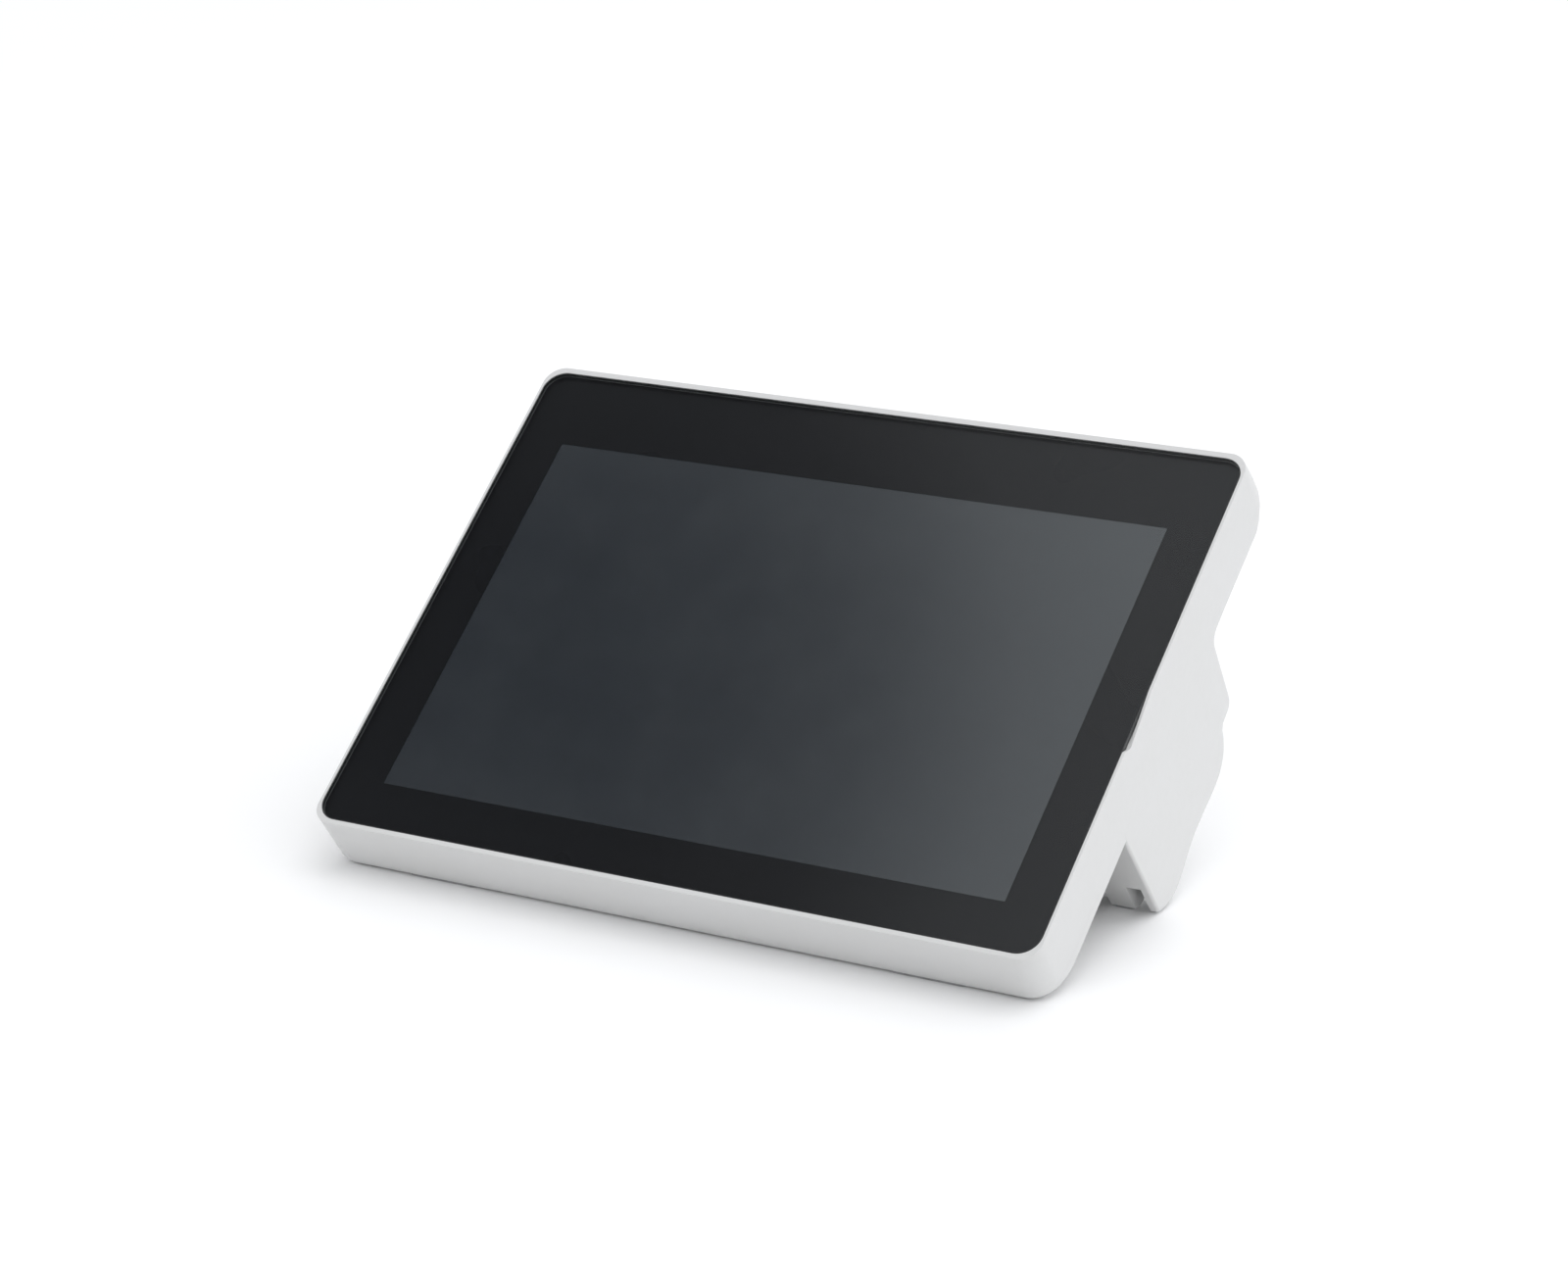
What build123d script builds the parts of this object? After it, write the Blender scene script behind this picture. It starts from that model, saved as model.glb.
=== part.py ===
from build123d import *
import math
import os

# ---------------------------------------------------------------- driving dimensions (mm)
screen_tilt = 36.2          # angle of the screen from the table, degrees
glass_centre_y = -7.975     # centre of the glass face in the row frame
glass_centre_z = 71.4
floor_z = 0.0

glass_w = 250.0             # cover glass
glass_h = 179.3
glass_s = 0.35              # centre of the glass along the screen
glass_t = 1.8
glass_r = 7.0
edge_gap = 0.15             # gap between glass and lip
slab_depth = 25.0
back_wall = 2.4
shell_lift = 0.5            # how far the rubber feet hold the slab's edge off the table
rear_lift = 0.75            # the same for the leg's cheeks

active_w = 216.96           # 10.1 inch, 16:10
active_h = 135.6
active_s = -4.85            # centre of the active area along the screen
lcd_w, lcd_h = 229.4, 147.6
lcd_s = -6.6

hump_half = 125.35          # half width over the leg's cheeks
cheek_inner = 122.5         # inner face of a cheek
leg_front_s = -33.7         # face of the leg that looks forward and down
leg_inner_s = -30.9
port_wall_s = 8.0           # wall that carries the ports, facing down the screen
port_wall_t = 2.5
upper_s = 34.8              # inner face of the hump's upper wall
hump_rear_d = 53.4          # rear face of the upper compartment
slot_d = 51.0               # where the cable slot starts
post_x0, post_x1 = 109.4, 117.5
cover_half = 122.0
groove_d0, groove_d1 = 57.6, 59.8
cover_travel = 35.0
button_travel = 0.6

insert_r = 2.0              # brass inserts
insert_len = 4.0
chassis_points = [(x, y) for x in (-118, 118) for y in (76, -2, -76)]
board_points = [(x, y) for x in (-68, 68) for y in (41, -45)]
io_board_d = 30.0           # depth of the I/O board's front face
io_points = [(x, y) for x in (-98, 98) for y in (30, 15.5)]
panel_points = [(x, y) for x in (-106.5, 106.5) for y in (-34, -45)]
clip_points = [(-12, -21.5), (12, -21.5)]
speaker_x, speaker_s = 85.0, 62.0
button_s, button_d = 50.0, 12.0
dc_x, drawer_x, lan_x = -88.0, -62.0, -34.0
usb_x = (-4.0, 20.0)
usb_c_x = 46.0
front_foot_x, front_foot_y = 85.0, glass_centre_y - 59.6
post_mid = (post_x0 + post_x1) / 2
rear_foot_y = glass_centre_y + 12.3

cs = math.cos(math.radians(screen_tilt))
sn = math.sin(math.radians(screen_tilt))
centre = Vector(0, glass_centre_y, glass_centre_z)

# Screen plane: local x across, local y up the screen (called s), local -z into the body (depth, called d)
screen = Plane(origin=centre, x_dir=(1, 0, 0), z_dir=(0, -sn, cs))
# Side plane: local x up the screen (s), local y is minus the depth, normal along +X
side = Plane(origin=centre, x_dir=(0, cs, sn), z_dir=(1, 0, 0))
# Wall plane at the ports: local x across, local y is minus the depth, normal down the screen


def wall_plane(s):
    return Plane(origin=centre + Vector(0, cs * s, sn * s), x_dir=(1, 0, 0), z_dir=(0, -cs, -sn))


def depth(d):
    return screen.offset(-d)


def to_yz(s, d):
    return (glass_centre_y + cs * s + sn * d, glass_centre_z + sn * s - cs * d)


os.makedirs("parts", exist_ok=True)


def finish(builder, label):
    builder.part.label = label
    export_step(builder.part, f"parts/{label}.step")


# ---------------------------------------------------------------- housing
# depths at which the slab's outline is lofted, front to back
section_depths = [0, 1.5, 4, 7, 10, 13, 16, 17.9, 19.5, 20.9, 22.1, 23.0, 23.7, 24.2, 24.55, 24.8, 24.95, 25.0]


def quarter(d, start, rise):
    # drop of a quarter ellipse that begins at depth start and ends at the slab's back
    q = max(0.0, min(1.0, (d - start) / (slab_depth - start)))
    return rise * (1 - math.sqrt(max(0.0, 1 - q * q)))


def slab_outline(d):
    # top, bottom, half width, radius of the top corners, radius of the bottom corners
    top = 92.0 + 0.335 * d - 0.005 * d * d - quarter(d, 16.0, 9.0)
    bottom = -91.0 - 0.093 * d + quarter(d, 17.95, 14.8)
    half = 126.0 - 0.03 * d - quarter(d, 24.0, 1.0)
    return top, bottom, half, 6.8 + 0.2 * d, 6.5 + 0.08 * d


# rear outline of the leg, (s, d), from the cover's upper seam down to the foot
rear_outline = [
    (28.5, 55.4), (27.0, 59.2), (24.0, 62.6), (19.3, 64.9), (13.1, 65.6), (6.1, 65.3), (-0.7, 65.0),
    (-7.2, 65.4), (-12.6, 66.6), (-18.1, 67.7), (-23.6, 67.9), (-27.9, 66.6),
]


def floor_d(s, lift):
    # depth at which a line at this s reaches the height lift above the table
    return (glass_centre_z - floor_z - lift + sn * s) / cs


with BuildPart() as slab_form:
    for d in section_depths:
        top, bottom, half, top_r, bottom_r = slab_outline(d)
        with BuildSketch(depth(d)) as section:
            with Locations((0, (top + bottom) / 2)):
                Rectangle(2 * half, top - bottom)
            rows = section.vertices().group_by(Axis.Y)
            fillet(rows[-1], top_r)
            rows = section.vertices().group_by(Axis.Y)
            fillet(rows[0], bottom_r)
    loft()
    # flat along the lower edge, parallel to the table
    with BuildSketch(Plane.XY.offset(floor_z + shell_lift)):
        Rectangle(400, 400)
    extrude(amount=-40, mode=Mode.SUBTRACT)

with BuildPart() as hump_form:
    with BuildSketch(side):
        with BuildLine():
            foot_front = (leg_front_s, -floor_d(leg_front_s, rear_lift))
            upper = FilletPolyline(
                (48.5, -20.0), (48.5, -slab_depth), (41.5, -slab_depth), (37.6, -hump_rear_d),
                (30.0, -hump_rear_d - 0.6),
                (rear_outline[0][0], -rear_outline[0][1]),
                radius=[0.0, 4.5, 4.2, 0.0],
            )
            back = Spline([(s, -d) for s, d in rear_outline])
            FilletPolyline(
                (rear_outline[-1][0], -rear_outline[-1][1]), (-30.9, -floor_d(-30.9, rear_lift)), foot_front,
                (leg_front_s, -20.0), (48.5, -20.0), radius=[1.4, 0.9, 0.0],
            )
        make_face()
    extrude(amount=hump_half, both=True)
    rim = hump_form.faces().filter_by(Axis.X).edges()
    rim = rim.filter_by(lambda e: e.center().Z < to_yz(0, 20)[1] + 60 and (centre - e.center()).length > 0)
    outer = [e for e in rim if -((e.center() - centre).dot(Vector(0, -sn, cs))) > 23.5]
    fillet(outer, 1.0)

with BuildPart() as housing:
    add(slab_form.part)
    add(hump_form.part)
    # pocket for the glass, then the two steps of the slab's inside
    with BuildSketch(screen):
        with Locations((0, glass_s)):
            RectangleRounded(glass_w + 2 * edge_gap, glass_h + 2 * edge_gap, glass_r + edge_gap)
    extrude(amount=-(glass_t + 0.3), mode=Mode.SUBTRACT)
    with BuildSketch(depth(glass_t + 0.2)):
        with Locations((0, -1.3)):
            RectangleRounded(245.2, 173.4, 9)
    extrude(amount=-(14.0 - glass_t - 0.2), mode=Mode.SUBTRACT)
    with BuildSketch(depth(13.0)):
        RectangleRounded(245.2, 159.6, 9)
    extrude(amount=-(slab_depth - back_wall - 13.0), mode=Mode.SUBTRACT)
    # upper compartment of the hump, and the way into it from the slab
    with BuildSketch(depth(slab_depth)):
        with Locations((0, (upper_s + port_wall_s + port_wall_t) / 2)):
            Rectangle(2 * 122.2, upper_s - port_wall_s - port_wall_t)
    extrude(amount=-(hump_rear_d - 2.2 - slab_depth), mode=Mode.SUBTRACT)
    with BuildSketch(depth(slab_depth - back_wall - 1)):
        with Locations((0, 22.5)):
            RectangleRounded(176, 21, 3)
    extrude(amount=-(back_wall + 2), mode=Mode.SUBTRACT)
    # cable bay, open to the rear
    with BuildSketch(depth(slab_depth)):
        with Locations((0, (port_wall_s + leg_inner_s) / 2)):
            Rectangle(2 * cheek_inner, port_wall_s - leg_inner_s)
    extrude(amount=-60, mode=Mode.SUBTRACT)
    # space for the cover behind the upper compartment
    with BuildSketch(depth(hump_rear_d)):
        with Locations((0, 20)):
            Rectangle(2 * cheek_inner, 30)
    extrude(amount=-30, mode=Mode.SUBTRACT)
    # cable slot along the leg's lower rear edge
    with BuildSketch(depth(slot_d)):
        with Locations((0, (leg_inner_s - 45) / 2)):
            Rectangle(2 * cheek_inner, 45 + leg_inner_s + 2)
    extrude(amount=-30, mode=Mode.SUBTRACT)
    # window in the port wall
    with BuildSketch(wall_plane(port_wall_s - 1)):
        with Locations((0, -40.0)):
            RectangleRounded(204, 17.4, 2)
    extrude(amount=-(port_wall_t + 2), mode=Mode.SUBTRACT)
    # foot posts that bridge the slot
    with BuildSketch(side.offset(post_x0)):
        with BuildLine():
            Polyline(
                (leg_inner_s + 0.4, -slot_d + 2), (leg_inner_s + 0.4, -55.0), (-28.0, -59.0), (-28.0, -65.6),
                (-30.8, -floor_d(-30.8, rear_lift)), foot_front, (leg_front_s, -slot_d + 2), (leg_inner_s + 0.4, -slot_d + 2),
            )
        make_face()
    posts = extrude(amount=post_x1 - post_x0)
    mirror(posts, about=Plane.YZ)
    # bosses for the chassis plate and the main board
    with BuildSketch(depth(8.0)):
        with Locations(*chassis_points):
            Circle(3.4)
    extrude(amount=-(slab_depth - back_wall + 0.4 - 8.0))
    with BuildSketch(depth(13.6)):
        with Locations(*board_points):
            Circle(3.2)
    extrude(amount=-(slab_depth - back_wall + 0.4 - 13.6))
    # bosses for the I/O board
    with BuildSketch(depth(slab_depth - 0.4)):
        with Locations(*io_points):
            Circle(3.2)
    extrude(amount=-(io_board_d - slab_depth + 0.4))
    # holes for the threaded inserts
    with BuildSketch(depth(7.0)):
        with Locations(*chassis_points):
            Circle(insert_r)
    extrude(amount=-(1.0 + insert_len), mode=Mode.SUBTRACT)
    with BuildSketch(depth(12.6)):
        with Locations(*board_points):
            Circle(insert_r)
    extrude(amount=-(1.0 + insert_len), mode=Mode.SUBTRACT)
    with BuildSketch(depth(io_board_d)):
        with Locations(*io_points):
            Circle(1.25)
    extrude(amount=5.0, mode=Mode.SUBTRACT)
    # screw holes for the port panel and the cable clip
    with BuildSketch(wall_plane(port_wall_s)):
        with Locations(*panel_points):
            Circle(1.25)
    extrude(amount=-2.0, mode=Mode.SUBTRACT)
    with BuildSketch(depth(slab_depth)):
        with Locations(*clip_points):
            Circle(1.0)
    extrude(amount=2.0, mode=Mode.SUBTRACT)
    # grooves that guide the cable cover
    with BuildSketch(side.offset(-cheek_inner - 1.3)):
        with Locations(((-23.0 + 45.0) / 2, -(groove_d0 + groove_d1) / 2)):
            Rectangle(68.0, groove_d1 - groove_d0)
    grooves = extrude(amount=2 * (cheek_inner + 1.3), mode=Mode.PRIVATE)
    with BuildSketch(side.offset(-cheek_inner + 0.01)):
        with Locations((11.0, -(groove_d0 + groove_d1) / 2)):
            Rectangle(68.0, groove_d1 - groove_d0)
    middle = extrude(amount=2 * cheek_inner - 0.02, mode=Mode.PRIVATE)
    add(grooves - middle, mode=Mode.SUBTRACT)
    # slots in front of the two speakers
    with BuildSketch(depth(slab_depth - back_wall - 1)):
        for sx in (-1, 1):
            with Locations((sx * speaker_x, speaker_s)):
                with GridLocations(3.4, 0, 9, 1):
                    SlotOverall(13, 1.5, rotation=90)
    extrude(amount=-(back_wall + 2), mode=Mode.SUBTRACT)
    # vent slots in the hump's upper wall
    with BuildSketch(wall_plane(upper_s - 1)):
        with Locations((0, -38)):
            with GridLocations(5.0, 0, 25, 1):
                SlotOverall(14, 1.6, rotation=90)
    extrude(amount=-8, mode=Mode.SUBTRACT)
    # oval hole for the power button in the left side
    with BuildSketch(Plane.YZ.offset(-130)):
        with Locations(to_yz(button_s, button_d)):
            SlotOverall(14.0, 5.0, rotation=screen_tilt)
    extrude(amount=9, mode=Mode.SUBTRACT)
    # pry notch in the right lip, which bares the edge of the glass
    with BuildSketch(side.offset(glass_w / 2 - 0.1)):
        with BuildLine():
            FilletPolyline((4.0, 0.3), (4.0, 0.0), (-15.0, -2.4), (-18.2, 0.0), (-18.2, 0.3),
                           radius=[0.0, 1.2, 0.0])
            Line((-18.2, 0.3), (4.0, 0.3))
        make_face()
    extrude(amount=2.0, mode=Mode.SUBTRACT)
    # recesses for the rubber feet
    with BuildSketch(Plane.XY.offset(floor_z)):
        with Locations((front_foot_x, front_foot_y), (-front_foot_x, front_foot_y)):
            RectangleRounded(26, 5.6, 2.5)
        with Locations((post_mid, rear_foot_y), (-post_mid, rear_foot_y)):
            RectangleRounded(6.6, 4.2, 1.2)
    extrude(amount=1.9, mode=Mode.SUBTRACT)
finish(housing, "housing")

# ---------------------------------------------------------------- screen stack
with BuildPart() as cover_glass:
    with BuildSketch(depth(0.05)):
        with Locations((0, glass_s)):
            RectangleRounded(glass_w, glass_h, glass_r)
    extrude(amount=-(glass_t - 0.05))
    fillet(cover_glass.edges().filter_by(lambda e: depth(0.05).to_local_coords(e.center()).Z > -0.01), 0.25)
finish(cover_glass, "cover_glass")

with BuildPart() as glass_tape:
    with BuildSketch(depth(glass_t)):
        with Locations((0, glass_s)):
            RectangleRounded(glass_w - 0.6, glass_h - 0.6, glass_r - 0.3)
        with Locations((0, -1.3)):
            RectangleRounded(245.4, 173.6, 9, mode=Mode.SUBTRACT)
    extrude(amount=-0.3)
finish(glass_tape, "glass_tape")

with BuildPart() as lcd_panel:
    with BuildSketch(depth(glass_t)):
        with Locations((0, lcd_s)):
            Rectangle(lcd_w, lcd_h)
    extrude(amount=-1.4)
finish(lcd_panel, "lcd_panel")

with BuildPart() as backlight_pan:
    with BuildSketch(depth(glass_t + 1.4)):
        with Locations((0, lcd_s)):
            RectangleRounded(lcd_w + 0.4, lcd_h + 0.4, 1)
    extrude(amount=-3.0)
    with BuildSketch(depth(glass_t + 4.4)):
        with Locations((0, lcd_s)):
            RectangleRounded(lcd_w - 20, lcd_h - 20, 4)
    extrude(amount=-0.4)
finish(backlight_pan, "backlight_pan")

with BuildPart() as chassis_plate:
    with BuildSketch(depth(7.0)):
        with Locations((0, 0.5)):
            RectangleRounded(243.0, 161.0, 3)
        with Locations((0, 58), (0, -64)):
            RectangleRounded(70, 8, 2, mode=Mode.SUBTRACT)
        with GridLocations(60, 60, 4, 2):
            Circle(5, mode=Mode.SUBTRACT)
        with Locations(*chassis_points):
            Circle(1.5, mode=Mode.SUBTRACT)
    extrude(amount=-1.0)
finish(chassis_plate, "chassis_plate")

with BuildPart() as main_board:
    with BuildSketch(depth(12.0)):
        with Locations((0, -2)):
            RectangleRounded(150, 100, 2)
        with Locations(*board_points):
            Circle(1.6, mode=Mode.SUBTRACT)
    extrude(amount=-1.6)
finish(main_board, "main_board")

with BuildPart() as shield_cans:
    with BuildSketch(depth(13.6)):
        with Locations((-30, -14)):
            RectangleRounded(44, 38, 1)
        with Locations((30, -18)):
            RectangleRounded(34, 26, 1)
    extrude(amount=-2.6)
finish(shield_cans, "shield_cans")

with BuildPart() as heat_spreader:
    with BuildSketch(depth(16.2)):
        with Locations((-4, -16)):
            RectangleRounded(110, 46, 3)
    extrude(amount=-1.2)
finish(heat_spreader, "heat_spreader")

with BuildPart() as coin_cell:
    with BuildSketch(depth(13.6)):
        with Locations((52, 28)):
            Circle(10)
    extrude(amount=-3.2)
    fillet(coin_cell.edges(), 0.4)
finish(coin_cell, "coin_cell")

with BuildPart() as display_flex:
    with BuildSketch(side):
        with BuildLine():
            Polyline((-80.9, -4.4), (-83.2, -4.4), (-83.2, -12.0), (-50.0, -12.0), (-50.0, -11.75),
                     (-82.95, -11.75), (-82.95, -4.65), (-80.9, -4.65), (-80.9, -4.4))
        make_face()
    extrude(amount=21, both=True)
finish(display_flex, "display_flex")

with BuildPart() as touch_flex:
    with BuildSketch(side):
        with BuildLine():
            Polyline((74.0, -1.8), (83.2, -1.8), (83.2, -12.0), (46.0, -12.0), (46.0, -11.75),
                     (82.95, -11.75), (82.95, -2.05), (74.0, -2.05), (74.0, -1.8))
        make_face()
    extrude(amount=9, both=True)
finish(touch_flex, "touch_flex")

# ---------------------------------------------------------------- sound and radio
with BuildPart() as speakers:
    for sx in (-1, 1):
        with BuildSketch(depth(12.6)):
            with Locations((sx * speaker_x, speaker_s)):
                RectangleRounded(40, 20, 3)
        extrude(amount=-7.0)
        with BuildSketch(depth(19.6)):
            with Locations((sx * speaker_x, speaker_s)):
                SlotOverall(33, 13)
        extrude(amount=-0.4)
finish(speakers, "speakers")

with BuildPart() as speaker_gaskets:
    for sx in (-1, 1):
        with BuildSketch(depth(19.6)):
            with Locations((sx * speaker_x, speaker_s)):
                RectangleRounded(39, 19, 3)
                SlotOverall(34, 15, mode=Mode.SUBTRACT)
        extrude(amount=-(slab_depth - back_wall - 19.6))
finish(speaker_gaskets, "speaker_gaskets")

with BuildPart() as wifi_antennas:
    with BuildSketch(depth(9.0)):
        with Locations((-52, 85.1), (52, 85.1)):
            Rectangle(38, 0.5)
    extrude(amount=-4.6)
finish(wifi_antennas, "wifi_antennas")

# ---------------------------------------------------------------- I/O board and its ports
with BuildPart() as io_board:
    with BuildSketch(depth(io_board_d)):
        with Locations((0, (10.9 + 34.2) / 2)):
            RectangleRounded(212, 34.2 - 10.9, 1)
        with Locations(*io_points):
            Circle(1.6, mode=Mode.SUBTRACT)
    extrude(amount=-1.6)
finish(io_board, "io_board")

with BuildPart() as board_ribbon:
    with BuildSketch(side):
        with BuildLine():
            Polyline((38.0, -13.6), (22.0, -13.6), (22.0, -io_board_d), (22.3, -io_board_d), (22.3, -13.9),
                     (38.0, -13.9), (38.0, -13.6))
        make_face()
    extrude(amount=16, both=True)
finish(board_ribbon, "board_ribbon")

port_d = io_board_d + 1.6       # ports stand on the rear face of the I/O board
port_s0 = 6.4                   # mouths, a little proud of the panel


mouth = wall_plane(port_s0)

with BuildPart() as dc_jack:
    with BuildSketch(mouth):
        with Locations((dc_x, -(port_d + 11.0 / 2))):
            RectangleRounded(9.4, 11.0, 0.5)
    extrude(amount=-14.0)
    with BuildSketch(mouth):
        with Locations((dc_x, -(port_d + 6.0))):
            Circle(3.1)
            Circle(1.0, mode=Mode.SUBTRACT)
    extrude(amount=-10.0, mode=Mode.SUBTRACT)
finish(dc_jack, "dc_jack")

with BuildPart() as drawer_port:
    with BuildSketch(mouth):
        with Locations((drawer_x, -(port_d + 12.4 / 2))):
            RectangleRounded(13.2, 12.4, 0.5)
    extrude(amount=-16.0)
    with BuildSketch(mouth):
        with Locations((drawer_x, -(port_d + 5.4))):
            Rectangle(9.9, 7.2)
        with Locations((drawer_x, -(port_d + 9.9))):
            Rectangle(3.2, 2.2)
    extrude(amount=-12.5, mode=Mode.SUBTRACT)
finish(drawer_port, "drawer_port")

with BuildPart() as lan_port:
    with BuildSketch(mouth):
        with Locations((lan_x, -(port_d + 13.4 / 2))):
            RectangleRounded(16.0, 13.4, 0.5)
    extrude(amount=-20.0)
    with BuildSketch(mouth):
        with Locations((lan_x, -(port_d + 6.0))):
            Rectangle(11.9, 8.4)
        with Locations((lan_x, -(port_d + 11.2))):
            Rectangle(4.2, 2.4)
    extrude(amount=-14.0, mode=Mode.SUBTRACT)
finish(lan_port, "lan_port")

with BuildPart() as usb_ports:
    for x in usb_x:
        with BuildSketch(mouth):
            with Locations((x, -(port_d + 15.6 / 2))):
                RectangleRounded(14.4, 15.6, 0.5)
        extrude(amount=-17.6)
        for row in (4.3, 11.3):
            with BuildSketch(mouth):
                with Locations((x, -(port_d + row))):
                    Rectangle(12.6, 5.2)
            extrude(amount=-12.0, mode=Mode.SUBTRACT)
            with BuildSketch(mouth.offset(-1.2)):
                with Locations((x, -(port_d + row - 0.9))):
                    Rectangle(11.2, 1.9)
            extrude(amount=-11.0)
finish(usb_ports, "usb_ports")

with BuildPart() as usb_c_port:
    with BuildSketch(mouth):
        with Locations((usb_c_x, -(port_d + 1.7))):
            SlotOverall(9.0, 3.4)
    extrude(amount=-9.0)
    with BuildSketch(mouth):
        with Locations((usb_c_x, -(port_d + 1.7))):
            SlotOverall(8.4, 2.7)
    extrude(amount=-6.5, mode=Mode.SUBTRACT)
    with BuildSketch(mouth.offset(-0.8)):
        with Locations((usb_c_x, -(port_d + 1.7))):
            Rectangle(6.7, 0.7)
    extrude(amount=-6.5)
finish(usb_c_port, "usb_c_port")

panel_gap = 0.35                # clearance round each connector


def panel(x0, x1, boxes, slots):
    # one sheet of the I/O shield, from x0 to x1, with a cut-out for each connector
    with BuildPart() as sheet:
        with BuildSketch(wall_plane(port_wall_s - 1.0)):
            with Locations(((x0 + x1) / 2, -39.6)):
                RectangleRounded(x1 - x0, 21.0, 1.5)
            for x, w, h in boxes:
                with Locations((x, -(port_d + h / 2))):
                    RectangleRounded(w + 2 * panel_gap, h + 2 * panel_gap, 0.8, mode=Mode.SUBTRACT)
            for x, w, h in slots:
                with Locations((x, -(port_d + h / 2))):
                    SlotOverall(w + 2 * panel_gap, h + 2 * panel_gap, mode=Mode.SUBTRACT)
            with Locations(*[p for p in panel_points if x0 < p[0] < x1]):
                Circle(1.6, mode=Mode.SUBTRACT)
        extrude(amount=-1.0)
    return sheet


port_panel = panel(-110.0, -18.7, [(dc_x, 9.4, 11.0), (drawer_x, 13.2, 12.4), (lan_x, 16.0, 13.4)], [])
finish(port_panel, "port_panel")

usb_panel = panel(-18.3, 110.0, [(usb_x[0], 14.4, 15.6), (usb_x[1], 14.4, 15.6)], [(usb_c_x, 9.0, 3.4)])
finish(usb_panel, "usb_panel")

# ---------------------------------------------------------------- power button
button_plane = Plane.YZ.offset(-125.55)
with BuildPart() as power_button:
    with BuildSketch(button_plane):
        with Locations(to_yz(button_s, button_d)):
            SlotOverall(13.5, 4.5, rotation=screen_tilt)
    extrude(amount=3.8)
    with BuildSketch(Plane.YZ.offset(-122.5)):
        with Locations(to_yz(button_s, button_d)):
            SlotOverall(16.0, 6.6, rotation=screen_tilt)
    extrude(amount=0.75)
    fillet(power_button.faces().sort_by(Axis.X)[0].edges(), 0.35)
finish(power_button, "power_button")

with BuildPart() as button_board:
    with BuildSketch(Plane.YZ.offset(-116.8)):
        with Locations(to_yz(button_s, 14.4)):
            Rectangle(26, 12.4, rotation=screen_tilt)
    extrude(amount=1.0)
finish(button_board, "button_board")

with BuildPart() as tact_switch:
    with BuildSketch(Plane.YZ.offset(-120.1)):
        with Locations(to_yz(button_s, button_d)):
            Rectangle(6.2, 6.2, rotation=screen_tilt)
    extrude(amount=3.3)
    with BuildSketch(Plane.YZ.offset(-120.9)):
        with Locations(to_yz(button_s, button_d)):
            Circle(1.6)
    extrude(amount=0.8)
finish(tact_switch, "tact_switch")

with BuildPart() as button_flex:
    with BuildSketch(depth(12.4)):
        with Locations(((-115.8 - 75.0) / 2, button_s - 9.0)):
            Rectangle(115.8 - 75.0, 5.0)
    extrude(amount=-0.25)
finish(button_flex, "button_flex")

# ---------------------------------------------------------------- cable cover
outline = [(s, -(d - 0.3)) for s, d in rear_outline[:-1]]
inner = [(s - 0.1, -(d - 2.5)) for s, d in rear_outline[2:-1]]
with BuildPart() as cable_cover:
    with BuildSketch(side):
        with BuildLine():
            low = Polyline((outline[-1][0], outline[-1][1]), (-26.3, -67.0), (-26.3, -64.7), inner[-1])
            in_line = Spline(list(reversed(inner)))
            top = Polyline(inner[0], (25.3, -58.6), (25.9, -54.4), (28.1, -54.4), outline[0])
            out_line = Spline(outline)
        make_face()
    extrude(amount=cover_half, both=True)
    # side flanges behind the skin
    for sx in (-1, 1):
        with BuildSketch(side.offset(sx * (cover_half - 1.0))):
            with BuildLine():
                Polyline((25.6, -55.8), (-24.0, -55.8), (-24.0, inner[-1][1]), inner[-1])
                Spline(list(reversed(inner)))
                Polyline(inner[0], (25.3, -58.6), (25.6, -55.8))
            make_face()
        extrude(amount=1.0, both=True)
        # tongue that runs in the cheek's groove
        with BuildSketch(side.offset(sx * (cover_half + 0.2))):
            with Locations(((-22.6 + 14.0) / 2, -(groove_d0 + groove_d1) / 2)):
                Rectangle(36.6, 1.5)
        extrude(amount=1.2, both=True)
    # mouth for the cables in the middle of the lower edge
    with BuildSketch(depth(50)):
        with Locations((0, -27)):
            RectangleRounded(64, 18, 4)
    extrude(amount=-30, mode=Mode.SUBTRACT)
    # grip ribs near the top
    for k in range(4):
        with BuildSketch(side.offset(-22)):
            with Locations((8.0 + 3.2 * k, -65.1)):
                Circle(0.9)
        extrude(amount=44)
finish(cable_cover, "cable_cover")

# ---------------------------------------------------------------- cable clip
with BuildPart() as cable_clip:
    with BuildSketch(wall_plane(-25.0)):
        with Locations((0, -(slab_depth + 0.9))):
            Rectangle(30, 1.8)
        with Locations((0, -(slab_depth + 4.2))):
            RectangleRounded(17, 8.4, 3.9)
        with Locations((0, -(slab_depth + 3.4))):
            RectangleRounded(13, 6.8, 2.8, mode=Mode.SUBTRACT)
        with Locations((0, -(slab_depth - 3.0))):
            Rectangle(40, 6.0, mode=Mode.SUBTRACT)
    extrude(amount=-7.0)
    with BuildSketch(depth(slab_depth)):
        with Locations(*clip_points):
            Circle(1.3)
    extrude(amount=-1.8, mode=Mode.SUBTRACT)
finish(cable_clip, "cable_clip")

# ---------------------------------------------------------------- feet
with BuildPart() as front_feet:
    with BuildSketch(Plane.XY.offset(floor_z)):
        with Locations((front_foot_x, front_foot_y), (-front_foot_x, front_foot_y)):
            RectangleRounded(25.6, 5.2, 2.3)
    extrude(amount=1.9)
finish(front_feet, "front_feet")

with BuildPart() as rear_feet:
    with BuildSketch(Plane.XY.offset(floor_z)):
        with Locations((post_mid, rear_foot_y), (-post_mid, rear_foot_y)):
            RectangleRounded(6.4, 4.0, 1.1)
    extrude(amount=1.9)
finish(rear_feet, "rear_feet")

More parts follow.
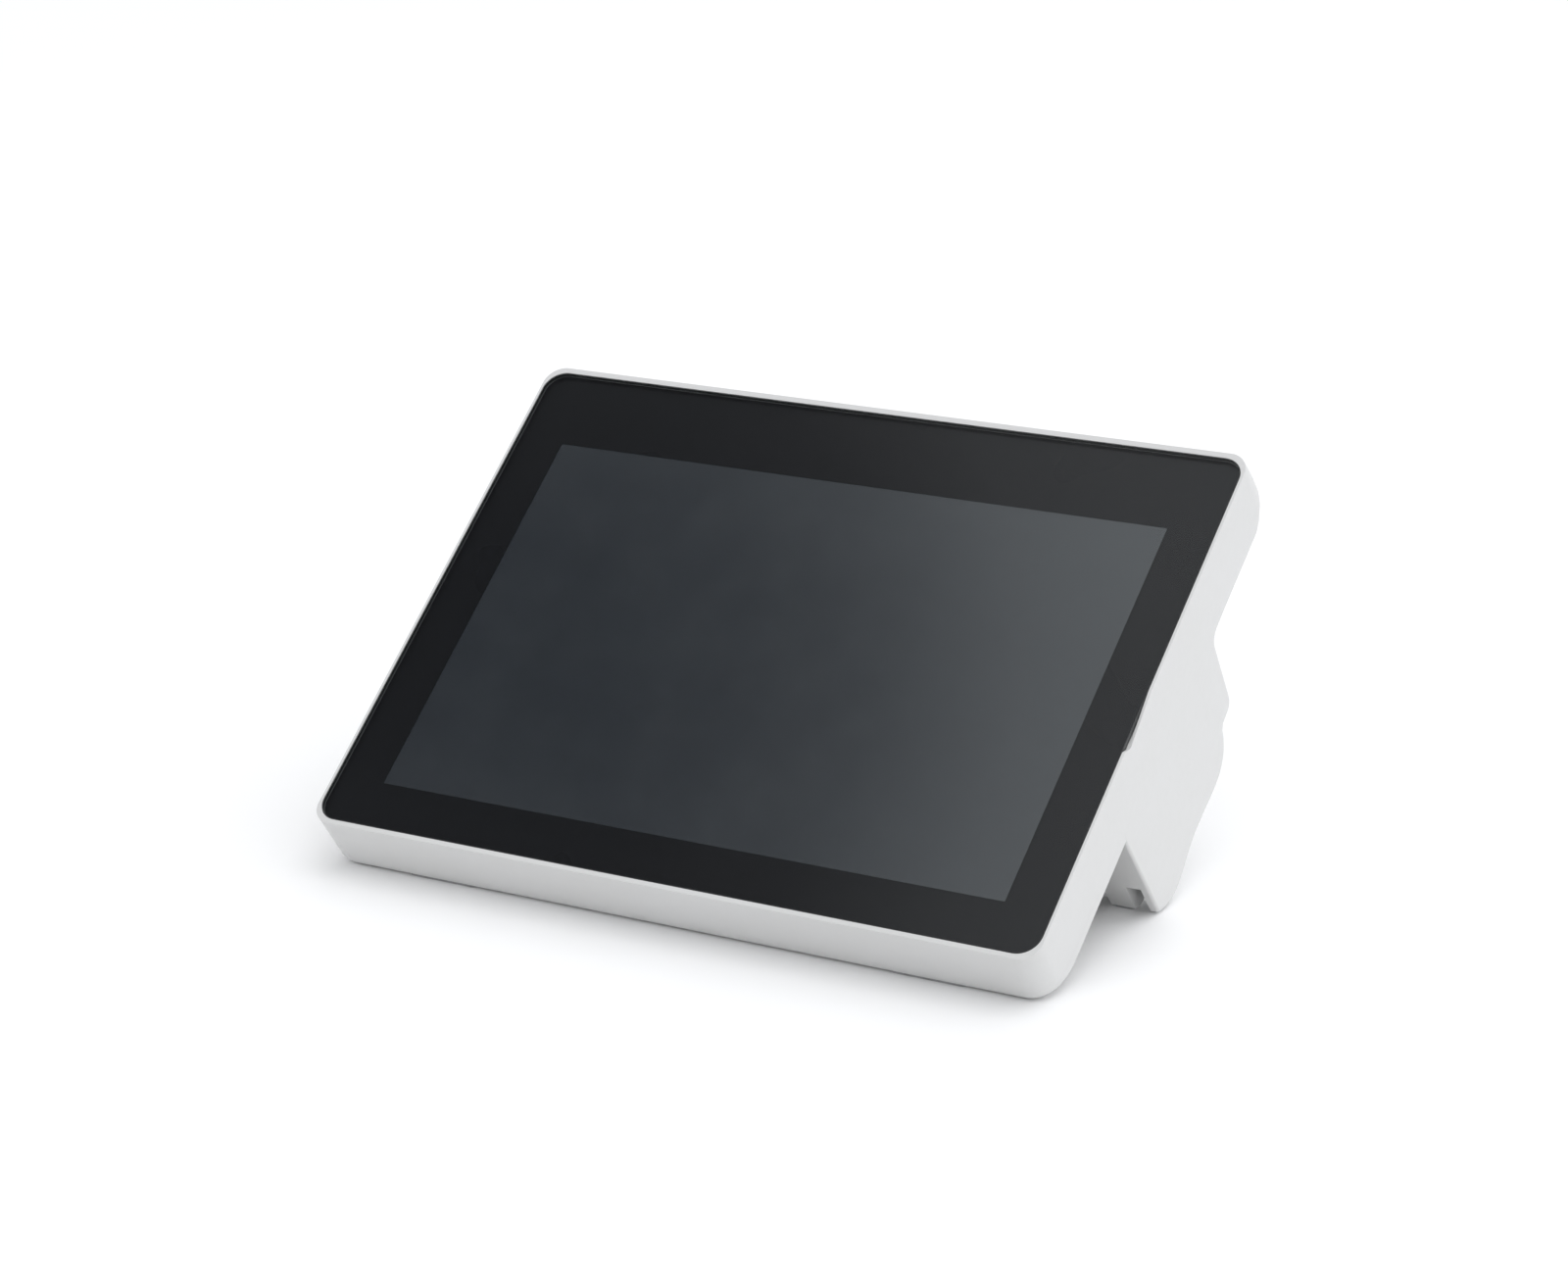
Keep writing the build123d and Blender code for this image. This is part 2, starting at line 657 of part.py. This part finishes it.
# ---------------------------------------------------------------- fasteners
with BuildPart() as threaded_inserts:
    with BuildSketch(depth(8.0)):
        with Locations(*chassis_points):
            Circle(insert_r)
            Circle(1.25, mode=Mode.SUBTRACT)
    extrude(amount=-insert_len)
    with BuildSketch(depth(13.6)):
        with Locations(*board_points):
            Circle(insert_r)
            Circle(1.25, mode=Mode.SUBTRACT)
    extrude(amount=-insert_len)
finish(threaded_inserts, "threaded_inserts")


def screws(points, d_head, head_r, head_h, shank_r, length, sign=-1):
    # pan-head screws driven into the body (sign -1) or towards the glass (sign +1)
    with BuildPart() as group:
        with BuildSketch(depth(d_head)):
            with Locations(*points):
                Circle(shank_r)
        extrude(amount=sign * length)
        with BuildSketch(depth(d_head)):
            with Locations(*points):
                Circle(head_r)
        extrude(amount=-sign * head_h)
        with BuildSketch(depth(d_head + sign * head_h)):
            with Locations(*points):
                Rectangle(head_r * 1.2, 0.5)
                Rectangle(0.5, head_r * 1.2)
        extrude(amount=sign * head_h * 0.5, mode=Mode.SUBTRACT)
    return group


chassis_screws = screws(chassis_points, 7.0, 2.3, 1.3, 1.2, 5.0)
finish(chassis_screws, "chassis_screws")

board_screws = screws(board_points, 12.0, 2.3, 1.3, 1.2, 5.0)
finish(board_screws, "board_screws")

io_screws = screws(io_points, io_board_d + 1.6, 2.3, 1.3, 1.2, 5.0, sign=1)
finish(io_screws, "io_screws")

clip_screws = screws(clip_points, slab_depth + 1.8, 1.9, 1.2, 0.95, 3.4, sign=1)
finish(clip_screws, "clip_screws")

with BuildPart() as panel_screws:
    with BuildSketch(wall_plane(port_wall_s - 1.0)):
        with Locations(*panel_points):
            Circle(1.2)
    extrude(amount=-2.8)
    with BuildSketch(wall_plane(port_wall_s - 1.0)):
        with Locations(*panel_points):
            Circle(2.3)
    extrude(amount=1.2)
    with BuildSketch(wall_plane(port_wall_s - 2.2)):
        with Locations(*panel_points):
            Rectangle(2.8, 0.5)
            Rectangle(0.5, 2.8)
    extrude(amount=-0.6, mode=Mode.SUBTRACT)
finish(panel_screws, "panel_screws")

print("housing", housing.part.bounding_box())
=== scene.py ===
import bpy, bmesh, math
from mathutils import Vector, Matrix


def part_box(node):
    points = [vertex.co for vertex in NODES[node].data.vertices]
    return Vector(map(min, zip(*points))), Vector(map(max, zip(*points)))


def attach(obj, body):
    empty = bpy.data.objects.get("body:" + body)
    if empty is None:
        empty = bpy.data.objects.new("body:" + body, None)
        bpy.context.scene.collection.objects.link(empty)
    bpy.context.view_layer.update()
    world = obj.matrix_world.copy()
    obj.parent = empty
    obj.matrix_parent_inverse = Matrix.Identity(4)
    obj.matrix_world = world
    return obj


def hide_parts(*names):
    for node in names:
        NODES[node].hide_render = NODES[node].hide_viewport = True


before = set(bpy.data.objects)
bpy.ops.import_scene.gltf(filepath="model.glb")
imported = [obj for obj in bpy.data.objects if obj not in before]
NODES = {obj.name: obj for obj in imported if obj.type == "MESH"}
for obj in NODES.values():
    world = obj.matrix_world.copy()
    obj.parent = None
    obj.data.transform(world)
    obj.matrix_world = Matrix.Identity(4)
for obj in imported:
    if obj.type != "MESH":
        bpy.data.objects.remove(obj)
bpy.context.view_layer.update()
SC = bpy.context.scene
SC.view_settings.view_transform = "Standard"
SC.view_settings.look = "None"

# ------------------------------------------------------------------ the screen's own frame
# x across, s up the screen, d into the body, all in millimetres from the centre of the lip's plane
TILT = math.radians(36.2)
C, S = math.cos(TILT), math.sin(TILT)
UP = Vector((0, C, S))
OUT = Vector((0, -S, C))
GLASS_W, GLASS_H, GLASS_S, GLASS_R = 250.0, 179.3, 0.35, 7.0
_lo, _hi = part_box("chassis_plate")
_y = (_lo.y + _hi.y) / 2
_z = (_lo.z + _hi.z) / 2
# the plate is a plain slab, centred 7.5 mm behind the lip and 0.5 mm up the screen
G = Vector((0.0, _y, _z)) - UP * 0.0005 + OUT * 0.0075


def P(x, s, d):
    return G + Vector((x, 0, 0)) * 0.001 + UP * (s * 0.001) - OUT * (d * 0.001)


# ------------------------------------------------------------------ camera
cam_d = bpy.data.cameras.new("camera")
cam = bpy.data.objects.new("camera", cam_d)
SC.collection.objects.link(cam)
cam_d.lens = 95.666
cam_d.sensor_width = 36.0
cam_d.clip_start = 0.05
cam_d.clip_end = 60


def W(x, s, d):
    return Vector((1, 0, 0)) * x + UP * s - OUT * d


f = W(-0.4818, 0.46070, 0.74543).normalized()
r = W(0.8651, 0.38529, 0.32102)
r = (r - f * r.dot(f)).normalized()
u = r.cross(f)
pos = G + W(617.3, -585.32, -950.78) * 0.001
cam.matrix_world = Matrix(((r.x, u.x, -f.x, pos.x), (r.y, u.y, -f.y, pos.y), (r.z, u.z, -f.z, pos.z), (0, 0, 0, 1)))
SC.camera = cam


# ------------------------------------------------------------------ material helpers
def srgb(r_, g_, b_):
    def k(v):
        v /= 255.0
        return v / 12.92 if v <= 0.04045 else ((v + 0.055) / 1.055) ** 2.4
    return (k(r_), k(g_), k(b_), 1.0)


def base(name, color, rough=0.5, metal=0.0, spec=0.5, coat=0.0):
    m = bpy.data.materials.new(name)
    m.use_nodes = True
    b = m.node_tree.nodes["Principled BSDF"]
    b.inputs["Base Color"].default_value = (color[0], color[1], color[2], 1)
    b.inputs["Roughness"].default_value = rough
    b.inputs["Metallic"].default_value = metal
    b.inputs["Specular IOR Level"].default_value = spec
    b.inputs["Coat Weight"].default_value = coat
    return m, m.node_tree, b


def obj_coords(nt, scale=1000.0, stretch=(1, 1, 1), rot=(0, 0, 0)):
    """object coordinates in millimetres"""
    tc = nt.nodes.new("ShaderNodeTexCoord")
    mp = nt.nodes.new("ShaderNodeMapping")
    mp.inputs["Scale"].default_value = (scale * stretch[0], scale * stretch[1], scale * stretch[2])
    mp.inputs["Rotation"].default_value = rot
    nt.links.new(tc.outputs["Object"], mp.inputs["Vector"])
    return mp.outputs["Vector"]


def noise(nt, vec, scale, detail=3.0, rough=0.55):
    n = nt.nodes.new("ShaderNodeTexNoise")
    n.inputs["Scale"].default_value = scale
    n.inputs["Detail"].default_value = detail
    n.inputs["Roughness"].default_value = rough
    nt.links.new(vec, n.inputs["Vector"])
    return n.outputs["Fac"]


def ramp(nt, fac, stops):
    rp = nt.nodes.new("ShaderNodeValToRGB")
    el = rp.color_ramp.elements
    four = [(p_, c_ if len(c_) == 4 else (*c_, 1)) for p_, c_ in stops]
    el[0].position, el[0].color = four[0]
    el[1].position, el[1].color = four[-1]
    for p_, c_ in four[1:-1]:
        el.new(p_).color = c_
    nt.links.new(fac, rp.inputs["Fac"])
    return rp.outputs["Color"]


def span(nt, fac, a, b, lo=0.0, hi=1.0):
    mr = nt.nodes.new("ShaderNodeMapRange")
    mr.inputs["From Min"].default_value = lo
    mr.inputs["From Max"].default_value = hi
    mr.inputs["To Min"].default_value = a
    mr.inputs["To Max"].default_value = b
    nt.links.new(fac, mr.inputs["Value"])
    return mr.outputs["Result"]


def bump(nt, bsdf, height, strength, dist):
    bp = nt.nodes.new("ShaderNodeBump")
    bp.inputs["Strength"].default_value = strength
    bp.inputs["Distance"].default_value = dist
    nt.links.new(height, bp.inputs["Height"])
    nt.links.new(bp.outputs["Normal"], bsdf.inputs["Normal"])
    return bp


# ------------------------------------------------------------------ materials
def m_white(name, tone, rough):
    """moulded ABS: fine spark-eroded grain, a faint mottling and slightly warmer where it gathers dust"""
    m, nt, b = base(name, tone, rough)
    v = obj_coords(nt)
    mott = noise(nt, v, 0.045, 4.0)
    col = ramp(nt, mott, [(0.30, (tone[0] * 0.985, tone[1] * 0.984, tone[2] * 0.978)), (0.70, tone)])
    nt.links.new(col, b.inputs["Base Color"])
    nt.links.new(span(nt, noise(nt, v, 0.35, 3.0), rough - 0.05, rough + 0.06, 0.3, 0.7), b.inputs["Roughness"])
    bump(nt, b, noise(nt, v, 3.2, 2.0, 0.6), 0.16, 0.00006)
    return m


WHITE = m_white("abs_white", (0.632, 0.633, 0.630), 0.46)
WHITE_COVER = m_white("abs_white_cover", (0.624, 0.625, 0.621), 0.50)
GREY_BUTTON = m_white("abs_button", (0.52, 0.523, 0.52), 0.40)


def m_black(name, tone, rough, grain=2.0, strength=0.2):
    m, nt, b = base(name, (tone, tone, tone * 1.05), rough)
    v = obj_coords(nt)
    nt.links.new(ramp(nt, noise(nt, v, 0.3), [(0.3, (tone * 0.85,) * 3), (0.7, (tone * 1.25, tone * 1.25, tone * 1.3))]),
                 b.inputs["Base Color"])
    nt.links.new(span(nt, noise(nt, v, 0.8), rough - 0.07, rough + 0.08, 0.3, 0.7), b.inputs["Roughness"])
    bump(nt, b, noise(nt, v, grain, 3.0), strength, 0.00005)
    return m


BLACK_PLASTIC = m_black("black_plastic", 0.022, 0.42)
RUBBER = m_black("rubber", 0.30, 0.78, 1.4, 0.4)
FOAM = m_black("foam", 0.018, 0.95, 1.1, 0.8)


def m_brushed(name, tone, rough, along=(1, 14, 14)):
    m, nt, b = base(name, tone, rough, metal=1.0)
    v = obj_coords(nt, stretch=along)
    lines = noise(nt, v, 0.9, 4.0, 0.65)
    nt.links.new(ramp(nt, lines, [(0.25, tuple(t * 0.88 for t in tone)), (0.75, tone)]), b.inputs["Base Color"])
    nt.links.new(span(nt, lines, rough - 0.07, rough + 0.1, 0.3, 0.7), b.inputs["Roughness"])
    bump(nt, b, lines, 0.12, 0.00003)
    return m


STEEL = m_brushed("steel", (0.60, 0.60, 0.61), 0.33)
TIN = m_brushed("tin_plate", (0.72, 0.72, 0.73), 0.24)
ALU = m_brushed("aluminium", (0.76, 0.76, 0.77), 0.36)
BRASS = m_brushed("brass", (0.76, 0.58, 0.27), 0.28)
SCREW = m_brushed("screw_steel", (0.42, 0.42, 0.44), 0.30, (9, 9, 9))
GOLD, _nt, _b = base("gold_contact", (0.83, 0.62, 0.28), 0.22, metal=1.0)
bump(_nt, _b, noise(_nt, obj_coords(_nt), 3.0), 0.1, 0.00002)


def m_pcb(name):
    """solder mask over copper tracks: a brick-like net of lines shows through as a slightly lighter green"""
    m, nt, b = base(name, (0.012, 0.09, 0.045), 0.34, coat=0.3)
    v = obj_coords(nt)
    vo = nt.nodes.new("ShaderNodeTexVoronoi")
    vo.feature = "DISTANCE_TO_EDGE"
    vo.inputs["Scale"].default_value = 0.28
    nt.links.new(v, vo.inputs["Vector"])
    nt.links.new(ramp(nt, vo.outputs["Distance"], [(0.03, (0.03, 0.17, 0.075)), (0.07, (0.012, 0.09, 0.045))]),
                 b.inputs["Base Color"])
    bump(nt, b, vo.outputs["Distance"], 0.1, 0.00004)
    return m


PCB = m_pcb("solder_mask")


def m_film(name):
    m, nt, b = base(name, (0.42, 0.19, 0.035), 0.28, coat=0.4)
    v = obj_coords(nt, stretch=(1, 1, 1))
    wv = nt.nodes.new("ShaderNodeTexWave")
    wv.bands_direction = "X"
    wv.inputs["Scale"].default_value = 0.55
    nt.links.new(v, wv.inputs["Vector"])
    nt.links.new(ramp(nt, wv.outputs["Fac"], [(0.35, (0.30, 0.13, 0.025)), (0.65, (0.52, 0.26, 0.06))]),
                 b.inputs["Base Color"])
    return m


FILM = m_film("polyimide_film")

# black ink printed behind the glass
INK, _nt, _b = base("black_ink", (0.0058, 0.0060, 0.0080), 0.30, spec=0.1)
_v = obj_coords(_nt)
_nt.links.new(span(_nt, noise(_nt, _v, 0.02, 2.0), 0.26, 0.36, 0.3, 0.7), _b.inputs["Roughness"])

# polariser of the switched-off display: blue-grey, slightly uneven, with its own gloss under the glass
LCD, _nt, _b = base("display_polariser", (0.023, 0.027, 0.035), 0.10, spec=1.0)
_b.inputs["IOR"].default_value = 1.8
_v = obj_coords(_nt)
_nt.links.new(ramp(_nt, noise(_nt, _v, 0.02, 3.0), [(0.3, (0.0220, 0.0258, 0.0338)), (0.7, (0.0240, 0.0282, 0.0362))]),
              _b.inputs["Base Color"])
_nt.links.new(span(_nt, noise(_nt, _v, 0.05, 2.0), 0.08, 0.13, 0.3, 0.7), _b.inputs["Roughness"])

# chemically strengthened glass, as a thin pane: clear with a mirror share that grows at low angles
PANE = bpy.data.materials.new("cover_glass_clear")
PANE.use_nodes = True
_nt = PANE.node_tree
for _n in list(_nt.nodes):
    _nt.nodes.remove(_n)
_o = _nt.nodes.new("ShaderNodeOutputMaterial")
_mx = _nt.nodes.new("ShaderNodeMixShader")
_lw = _nt.nodes.new("ShaderNodeLayerWeight")        # the same mirror share from outside and from within
_lw.inputs["Blend"].default_value = 0.5
_pw = _nt.nodes.new("ShaderNodeMath")
_pw.operation = "POWER"
_pw.inputs[1].default_value = 5.0
_nt.links.new(_lw.outputs["Facing"], _pw.inputs[0])
_fr = _nt.nodes.new("ShaderNodeMath")
_fr.operation = "MULTIPLY_ADD"
_fr.inputs[1].default_value = 0.964
_fr.inputs[2].default_value = 0.036
_nt.links.new(_pw.outputs[0], _fr.inputs[0])
_tr = _nt.nodes.new("ShaderNodeBsdfTransparent")
_tr.inputs["Color"].default_value = (0.94, 0.955, 0.955, 1)
_gl = _nt.nodes.new("ShaderNodeBsdfAnisotropic")
_gl.inputs["Color"].default_value = (1, 1, 1, 1)
_gl.inputs["Roughness"].default_value = 0.0
_nt.links.new(_fr.outputs[0], _mx.inputs["Fac"])
_nt.links.new(_tr.outputs["BSDF"], _mx.inputs[1])
_nt.links.new(_gl.outputs["BSDF"], _mx.inputs[2])
_nt.links.new(_mx.outputs["Shader"], _o.inputs["Surface"])

# the ground edge of the glass, dark from the ink behind it
EDGE, _nt, _b = base("glass_edge", (0.012, 0.014, 0.015), 0.16, spec=0.6)
bump(_nt, _b, noise(_nt, obj_coords(_nt), 2.0), 0.08, 0.00003)


def put(mat, *names):
    for n in names:
        me = NODES[n].data
        me.materials.clear()
        me.materials.append(mat)


put(WHITE, "housing")
put(WHITE_COVER, "cable_cover")
put(GREY_BUTTON, "power_button")
put(PANE, "cover_glass")
put(LCD, "lcd_panel")
put(FOAM, "glass_tape", "speaker_gaskets")
put(ALU, "backlight_pan", "heat_spreader")
put(STEEL, "chassis_plate", "coin_cell", *[n for n in NODES if n.endswith("_panel") and n != "lcd_panel"])
put(PCB, "main_board", "io_board", "button_board")
put(TIN, "shield_cans", "lan_port", "usb_ports", "usb_c_port")
put(FILM, "display_flex", "touch_flex", "board_ribbon", "button_flex", "wifi_antennas")
put(BLACK_PLASTIC, "speakers", "dc_jack", "drawer_port", "tact_switch", "cable_clip")
put(RUBBER, "front_feet", "rear_feet")
put(BRASS, "threaded_inserts")
put(SCREW, "chassis_screws", "board_screws", "io_screws", "clip_screws", "panel_screws")


# ------------------------------------------------------------------ mesh helpers
def link(ob):
    SC.collection.objects.link(ob)
    return ob


def rounded(w, h, rad, cx=0.0, cy=0.0, seg=10):
    """outline of a rounded rectangle, counter-clockwise, as (x, s)"""
    pts = []
    for qx, qy, a0 in ((1, 1, 0), (-1, 1, 90), (-1, -1, 180), (1, -1, 270)):
        ox, oy = cx + qx * (w / 2 - rad), cy + qy * (h / 2 - rad)
        for i in range(seg + 1):
            a = math.radians(a0 + 90.0 * i / seg)
            pts.append((ox + rad * math.cos(a), oy + rad * math.sin(a)))
    return pts


def smooth(ob, angle=35):
    me = ob.data
    me.shade_smooth()
    me.set_sharp_from_angle(angle=math.radians(angle))


def stacked(name, rings, mats, body="terminal", close=True):
    """a closed form through rings of equal count, each a list of world points, capped at both ends"""
    bm = bmesh.new()
    loops = [[bm.verts.new(p) for p in ring] for ring in rings]
    n = len(loops[0])
    for a, b in zip(loops, loops[1:]):
        for i in range(n):
            j = (i + 1) % n
            bm.faces.new((a[i], a[j], b[j], b[i]))
    if close:
        bm.faces.new(list(reversed(loops[0])))
        bm.faces.new(loops[-1])
    bmesh.ops.recalc_face_normals(bm, faces=bm.faces)
    me = bpy.data.meshes.new(name)
    bm.to_mesh(me)
    bm.free()
    for m in mats:
        me.materials.append(m)
    ob = link(bpy.data.objects.new(name, me))
    smooth(ob)
    for poly in me.polygons:                        # the flat front and back stay flat
        if abs(poly.normal.dot(OUT)) > 0.995:
            poly.use_smooth = False
    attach(ob, body)
    return ob


# ------------------------------------------------------------------ cover glass, ink and display
rings = []
EB = 0.30
for k in range(6):                                  # rounded front rim of the glass
    a = math.radians(90.0 * k / 5)
    ins = EB * (1 - math.sin(a))
    rings.append((ins, 0.05 + EB * (1 - math.cos(a))))
rings.append((0.0, 1.57))
rings.append((0.13, 1.70))
loops = [[P(x, s, d) for x, s in rounded(GLASS_W - 2 * i, GLASS_H - 2 * i, GLASS_R - i, 0, GLASS_S, 14)] for i, d in rings]
glass = stacked("glass_pane", loops, [PANE, EDGE])
for poly in glass.data.polygons:                    # ground edge: every face that isn't the front or the back
    if abs(poly.normal.dot(OUT)) < 0.97:
        poly.material_index = 1
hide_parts("cover_glass")


def ring_plate(name, outer, inner, d0, d1, mat):
    bm = bmesh.new()
    o0 = [bm.verts.new(P(x, s, d0)) for x, s in outer]
    i0 = [bm.verts.new(P(x, s, d0)) for x, s in inner]
    o1 = [bm.verts.new(P(x, s, d1)) for x, s in outer]
    i1 = [bm.verts.new(P(x, s, d1)) for x, s in inner]
    n = len(outer)
    for i in range(n):
        j = (i + 1) % n
        bm.faces.new((o0[i], o0[j], i0[j], i0[i]))
        bm.faces.new((o1[j], o1[i], i1[i], i1[j]))
        bm.faces.new((o0[j], o0[i], o1[i], o1[j]))
        bm.faces.new((i0[i], i0[j], i1[j], i1[i]))
    bmesh.ops.recalc_face_normals(bm, faces=bm.faces)
    me = bpy.data.meshes.new(name)
    bm.to_mesh(me)
    bm.free()
    me.materials.append(mat)
    ob = link(bpy.data.objects.new(name, me))
    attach(ob, "terminal")
    return ob


ink = ring_plate("glass_ink", rounded(GLASS_W - 0.10, GLASS_H - 0.10, GLASS_R - 0.05, 0, GLASS_S, 10),
                 rounded(216.96, 135.6, 0.4, 0, -4.85, 10), 1.735, 1.775, INK)

cell_rings = []
for i, d in ((0.25, 1.86), (0.0, 2.0), (0.0, 3.05), (0.15, 3.19)):
    cell_rings.append([P(x, s, d) for x, s in rounded(229.4 - 2 * i, 147.6 - 2 * i, 0.8, 0, -6.6, 4)])
cell = stacked("display_cell", cell_rings, [LCD])
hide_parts("lcd_panel")

# ------------------------------------------------------------------ stage and light
me = bpy.data.meshes.new("floor")
me.from_pydata([(-14, -14, 0), (14, -14, 0), (14, 14, 0), (-14, 14, 0)], [], [(0, 1, 2, 3)])
floor = link(bpy.data.objects.new("floor", me))
FLOOR, _nt, _b = base("floor_paper", (0.93, 0.93, 0.93), 0.9, spec=0.1)
floor.data.materials.append(FLOOR)

w = bpy.data.worlds.new("studio")
w.use_nodes = True
nt = w.node_tree
bg = nt.nodes["Background"]
tc = nt.nodes.new("ShaderNodeTexCoord")
dot = nt.nodes.new("ShaderNodeVectorMath")
dot.operation = "DOT_PRODUCT"
nt.links.new(tc.outputs["Generated"], dot.inputs[0])
dark = Vector((-0.54, -0.08, 0.84)).normalized()     # the unlit part of the ceiling, up and to the left
dot.inputs[1].default_value = dark
cr = ramp(nt, dot.outputs["Value"], [(v_, (t_, t_ * 1.01, t_ * 1.03)) for v_, t_ in (
    (0.0, 1.0), (0.62, 1.0), (0.80, 0.62), (0.93, 0.36), (0.975, 0.42), (0.988, 0.37), (0.992, 0.31), (0.9955, 0.15), (0.998, 0.08), (1.0, 0.05))])
low = nt.nodes.new("ShaderNodeVectorMath")          # the room is darker low down in front of the terminal
low.operation = "DOT_PRODUCT"
nt.links.new(tc.outputs["Generated"], low.inputs[0])
low.inputs[1].default_value = Vector((0.0, -1.0, -0.25)).normalized()
cf = ramp(nt, low.outputs["Value"], [(0.25, (1.0, 1.0, 1.0)), (0.62, (0.72, 0.72, 0.72)), (1.0, (0.40, 0.40, 0.40))])
both = nt.nodes.new("ShaderNodeVectorMath")
both.operation = "MULTIPLY"
nt.links.new(cr, both.inputs[0])
nt.links.new(cf, both.inputs[1])
nt.links.new(both.outputs["Vector"], bg.inputs["Color"])
bg.inputs["Strength"].default_value = 1.32
SC.world = w


def area(name, at, target, size, power, color=(1, 1, 1), glossy=False):
    ld = bpy.data.lights.new(name, "AREA")
    ld.shape = "DISK"
    ld.size = size
    ld.energy = power
    ld.color = color
    ob = link(bpy.data.objects.new(name, ld))
    ob.location = at
    ob.rotation_euler = (Vector(target) - Vector(at)).to_track_quat("-Z", "Y").to_euler()
    ob.visible_glossy = glossy
    ob.visible_camera = False
    return ob


area("top_soft", (0.3, -0.1, 2.4), (0, 0, 0.05), 2.2, 12.0)
